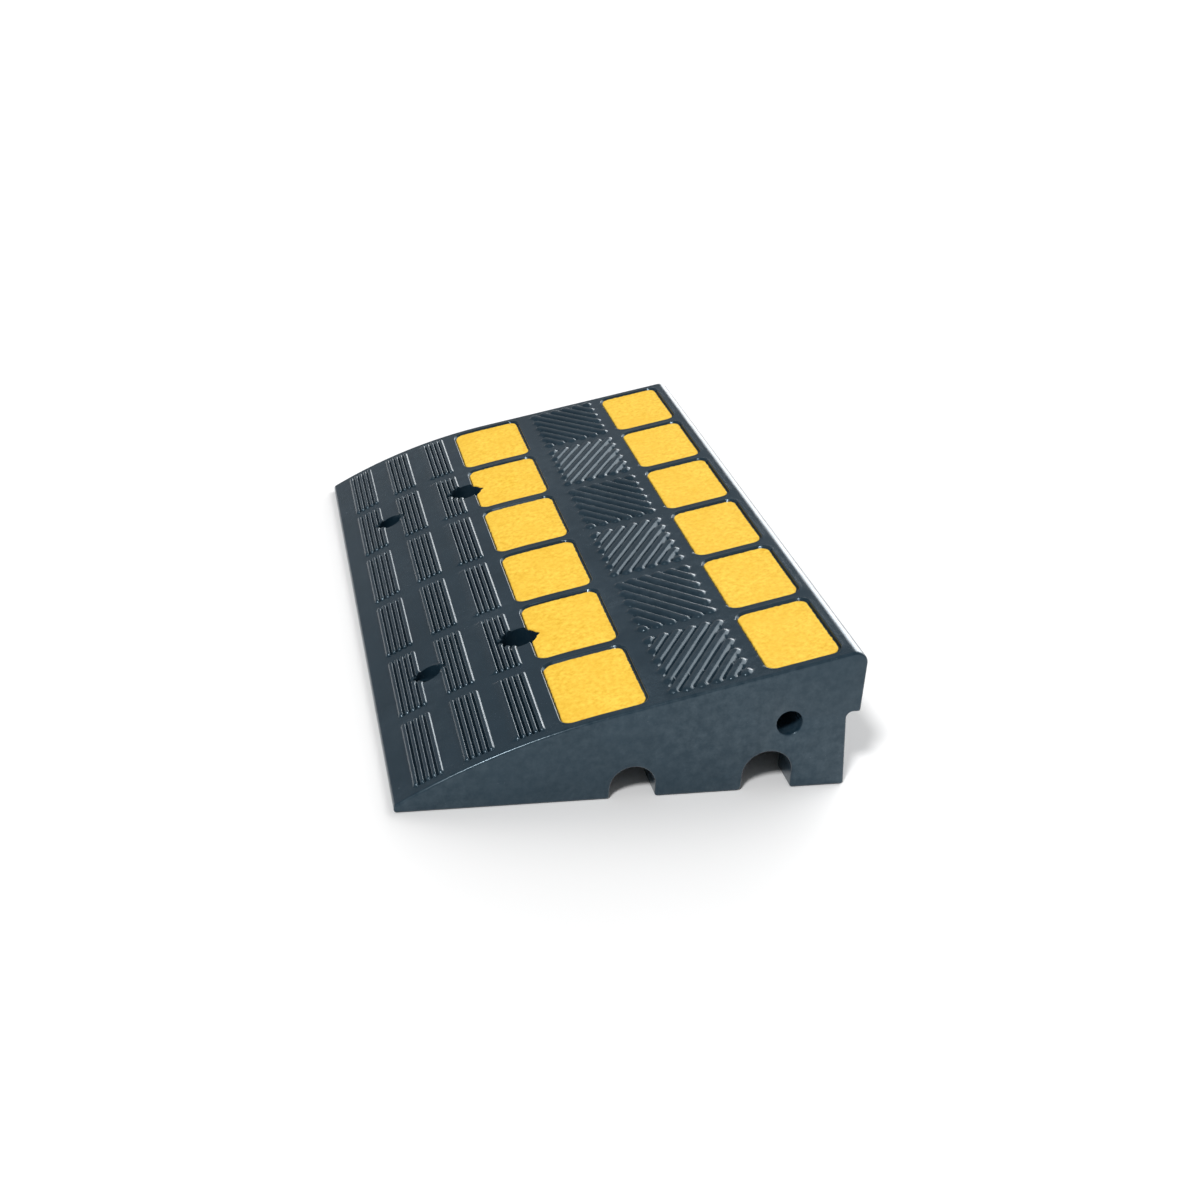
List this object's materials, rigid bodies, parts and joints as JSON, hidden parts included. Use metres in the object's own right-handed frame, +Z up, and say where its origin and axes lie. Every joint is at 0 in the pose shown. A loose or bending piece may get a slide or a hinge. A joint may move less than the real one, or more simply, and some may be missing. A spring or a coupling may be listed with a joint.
{
  "type": "rubber kerb ramp speed bump",
  "caption": "Moulded rubber wedge ramp with a ribbed tread, inset yellow reflective tiles, underside channels, a heel lip and counterbored anchor holes.",
  "frame": {"origin": "on the ground under the middle of the ramp's bounding box", "axes": "+Z up from the ground, +Y along the ramp's length, +X from the thin toe towards the high heel"},
  "size_m": [0.35, 0.6, 0.115],
  "materials": {
    "rubber": "matte moulded",
    "reflective_tile": "fine glass-bead grain"
  },
  "bodies": {
    "root": {"ramp_body": "rubber", "toe_tile_1": "reflective_tile", "toe_tile_2": "reflective_tile", "toe_tile_3": "reflective_tile", "toe_tile_4": "reflective_tile", "toe_tile_5": "reflective_tile", "toe_tile_6": "reflective_tile", "heel_tile_1": "reflective_tile", "heel_tile_2": "reflective_tile", "heel_tile_3": "reflective_tile", "heel_tile_4": "reflective_tile", "heel_tile_5": "reflective_tile", "heel_tile_6": "reflective_tile"}
  },
  "joints": []
}
